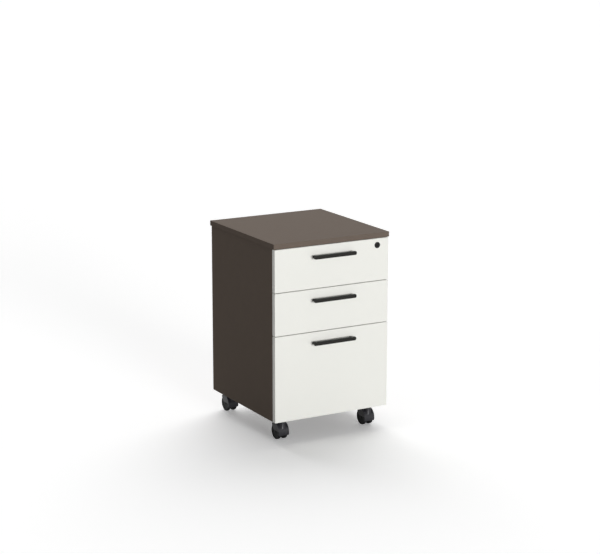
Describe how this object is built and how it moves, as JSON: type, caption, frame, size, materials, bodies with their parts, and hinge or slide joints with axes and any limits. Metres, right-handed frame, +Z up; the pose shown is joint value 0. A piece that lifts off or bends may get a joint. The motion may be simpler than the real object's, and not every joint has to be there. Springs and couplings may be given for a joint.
{
  "type": "rolling pedestal cabinet",
  "caption": "Rolling office pedestal with box drawers over a file drawer, bar handles, a gang lock and twin-wheel swivel casters.",
  "frame": {"origin": "on the floor, at the middle of the bounding box", "axes": "+Z up, -Y towards the drawer fronts, +X to the right of someone facing the fronts"},
  "size_m": [0.4, 0.442, 0.62],
  "materials": {
    "dark_laminate": "dark brown-grey melamine board, fine matt grain",
    "white_laminate": "warm white melamine board, satin",
    "box_board": "light grey melamine board",
    "black_handle": "black powder coat, satin",
    "zinc_steel": "zinc-plated rolled steel",
    "zinc_fittings": "zinc-plated fasteners",
    "bar_aluminium": "mill-finish extruded aluminium",
    "black_lock": "black plated lock",
    "hood_plastic": "glossy dark grey moulded nylon",
    "wheel_plastic": "black moulded nylon, satin"
  },
  "bodies": {
    "cabinet": {"top_panel": "dark_laminate", "left_side": "dark_laminate", "right_side": "dark_laminate", "bottom_panel": "dark_laminate", "back_panel": "dark_laminate", "cam_fittings": "zinc_fittings", "cabinet_slide_members": "zinc_steel", "bar_guides": "zinc_steel", "caster_plates": "zinc_steel", "caster_screws": "zinc_fittings"},
    "drawer_1": {"drawer_1_front": "white_laminate", "drawer_1_handle": "black_handle", "drawer_1_handle_screws": "zinc_fittings", "drawer_1_box_sides": "box_board", "drawer_1_box_ends": "box_board", "drawer_1_base": "box_board", "drawer_1_slide_members": "zinc_steel", "drawer_1_catch_stud": "zinc_steel", "lock_housing": "black_lock", "lock_nut": "black_lock"},
    "drawer_1_middle": {"drawer_1_middle_slides": "zinc_steel"},
    "drawer_2": {"drawer_2_front": "white_laminate", "drawer_2_handle": "black_handle", "drawer_2_handle_screws": "zinc_fittings", "drawer_2_box_sides": "box_board", "drawer_2_box_ends": "box_board", "drawer_2_base": "box_board", "drawer_2_slide_members": "zinc_steel", "drawer_2_catch_stud": "zinc_steel"},
    "drawer_2_middle": {"drawer_2_middle_slides": "zinc_steel"},
    "file_drawer": {"file_drawer_front": "white_laminate", "file_drawer_handle": "black_handle", "file_drawer_handle_screws": "zinc_fittings", "file_drawer_box_sides": "box_board", "file_drawer_box_ends": "box_board", "file_drawer_base": "box_board", "file_drawer_slide_members": "zinc_steel", "file_drawer_catch_stud": "zinc_steel", "file_rails": "zinc_steel"},
    "file_drawer_middle": {"file_drawer_middle_slides": "zinc_steel"},
    "key_plug": {"lock_plug": "black_lock"},
    "gang_bar": {"locking_bar": "bar_aluminium", "bar_fork": "zinc_steel", "bar_catches": "zinc_steel"},
    "front_left_swivel": {"front_left_caster_hood": "hood_plastic", "front_left_caster_pins": "zinc_steel"},
    "front_left_wheel_left": {"front_left_caster_wheel_left": "wheel_plastic"},
    "front_left_wheel_right": {"front_left_caster_wheel_right": "wheel_plastic"},
    "front_right_swivel": {"front_right_caster_hood": "hood_plastic", "front_right_caster_pins": "zinc_steel"},
    "front_right_wheel_left": {"front_right_caster_wheel_left": "wheel_plastic"},
    "front_right_wheel_right": {"front_right_caster_wheel_right": "wheel_plastic"},
    "back_left_swivel": {"back_left_caster_hood": "hood_plastic", "back_left_caster_pins": "zinc_steel"},
    "back_left_wheel_left": {"back_left_caster_wheel_left": "wheel_plastic"},
    "back_left_wheel_right": {"back_left_caster_wheel_right": "wheel_plastic"},
    "back_right_swivel": {"back_right_caster_hood": "hood_plastic", "back_right_caster_pins": "zinc_steel"},
    "back_right_wheel_left": {"back_right_caster_wheel_left": "wheel_plastic"},
    "back_right_wheel_right": {"back_right_caster_wheel_right": "wheel_plastic"}
  },
  "joints": [
    {"name": "drawer_1_slide", "type": "slide", "parent": "cabinet", "child": "drawer_1", "axis": [0, -1, 0], "range_m": [0, 0.34]},
    {"name": "drawer_1_middle_slide", "type": "slide", "parent": "cabinet", "child": "drawer_1_middle", "axis": [0, -1, 0], "range_m": [0, 0.17]},
    {"name": "drawer_2_slide", "type": "slide", "parent": "cabinet", "child": "drawer_2", "axis": [0, -1, 0], "range_m": [0, 0.34]},
    {"name": "drawer_2_middle_slide", "type": "slide", "parent": "cabinet", "child": "drawer_2_middle", "axis": [0, -1, 0], "range_m": [0, 0.17]},
    {"name": "file_drawer_slide", "type": "slide", "parent": "cabinet", "child": "file_drawer", "axis": [0, -1, 0], "range_m": [0, 0.34]},
    {"name": "file_drawer_middle_slide", "type": "slide", "parent": "cabinet", "child": "file_drawer_middle", "axis": [0, -1, 0], "range_m": [0, 0.17]},
    {"name": "key_turn", "type": "hinge", "parent": "drawer_1", "child": "key_plug", "pos_m": [0.1575, -0.199, 0.582], "axis": [0, 1, 0], "range_deg": [0, 90]},
    {"name": "gang_bar_lift", "type": "slide", "parent": "cabinet", "child": "gang_bar", "axis": [0, 0, 1], "range_m": [0, 0.00919]},
    {"name": "front_left_caster_swivel", "type": "hinge", "parent": "cabinet", "child": "front_left_swivel", "pos_m": [-0.152, -0.16, 0.069], "axis": [0, 0, 1], "continuous": true},
    {"name": "front_left_wheel_left_spin", "type": "hinge", "parent": "front_left_swivel", "child": "front_left_wheel_left", "pos_m": [-0.152, -0.144, 0.025], "axis": [1, 0, 0], "continuous": true},
    {"name": "front_left_wheel_right_spin", "type": "hinge", "parent": "front_left_swivel", "child": "front_left_wheel_right", "pos_m": [-0.152, -0.144, 0.025], "axis": [1, 0, 0], "continuous": true},
    {"name": "front_right_caster_swivel", "type": "hinge", "parent": "cabinet", "child": "front_right_swivel", "pos_m": [0.152, -0.16, 0.069], "axis": [0, 0, 1], "continuous": true},
    {"name": "front_right_wheel_left_spin", "type": "hinge", "parent": "front_right_swivel", "child": "front_right_wheel_left", "pos_m": [0.152, -0.144, 0.025], "axis": [1, 0, 0], "continuous": true},
    {"name": "front_right_wheel_right_spin", "type": "hinge", "parent": "front_right_swivel", "child": "front_right_wheel_right", "pos_m": [0.152, -0.144, 0.025], "axis": [1, 0, 0], "continuous": true},
    {"name": "back_left_caster_swivel", "type": "hinge", "parent": "cabinet", "child": "back_left_swivel", "pos_m": [-0.152, 0.1765, 0.069], "axis": [0, 0, 1], "continuous": true},
    {"name": "back_left_wheel_left_spin", "type": "hinge", "parent": "back_left_swivel", "child": "back_left_wheel_left", "pos_m": [-0.152, 0.1925, 0.025], "axis": [1, 0, 0], "continuous": true},
    {"name": "back_left_wheel_right_spin", "type": "hinge", "parent": "back_left_swivel", "child": "back_left_wheel_right", "pos_m": [-0.152, 0.1925, 0.025], "axis": [1, 0, 0], "continuous": true},
    {"name": "back_right_caster_swivel", "type": "hinge", "parent": "cabinet", "child": "back_right_swivel", "pos_m": [0.152, 0.1765, 0.069], "axis": [0, 0, 1], "continuous": true},
    {"name": "back_right_wheel_left_spin", "type": "hinge", "parent": "back_right_swivel", "child": "back_right_wheel_left", "pos_m": [0.152, 0.1925, 0.025], "axis": [1, 0, 0], "continuous": true},
    {"name": "back_right_wheel_right_spin", "type": "hinge", "parent": "back_right_swivel", "child": "back_right_wheel_right", "pos_m": [0.152, 0.1925, 0.025], "axis": [1, 0, 0], "continuous": true}
  ],
  "couplings": [
    {"joint": "drawer_1_middle_slide", "follows": "drawer_1_slide", "ratio": 0.5},
    {"joint": "drawer_2_middle_slide", "follows": "drawer_2_slide", "ratio": 0.5},
    {"joint": "file_drawer_middle_slide", "follows": "file_drawer_slide", "ratio": 0.5},
    {"joint": "key_turn", "follows": "gang_bar_lift", "rad_per_m": 170.89}
  ]
}
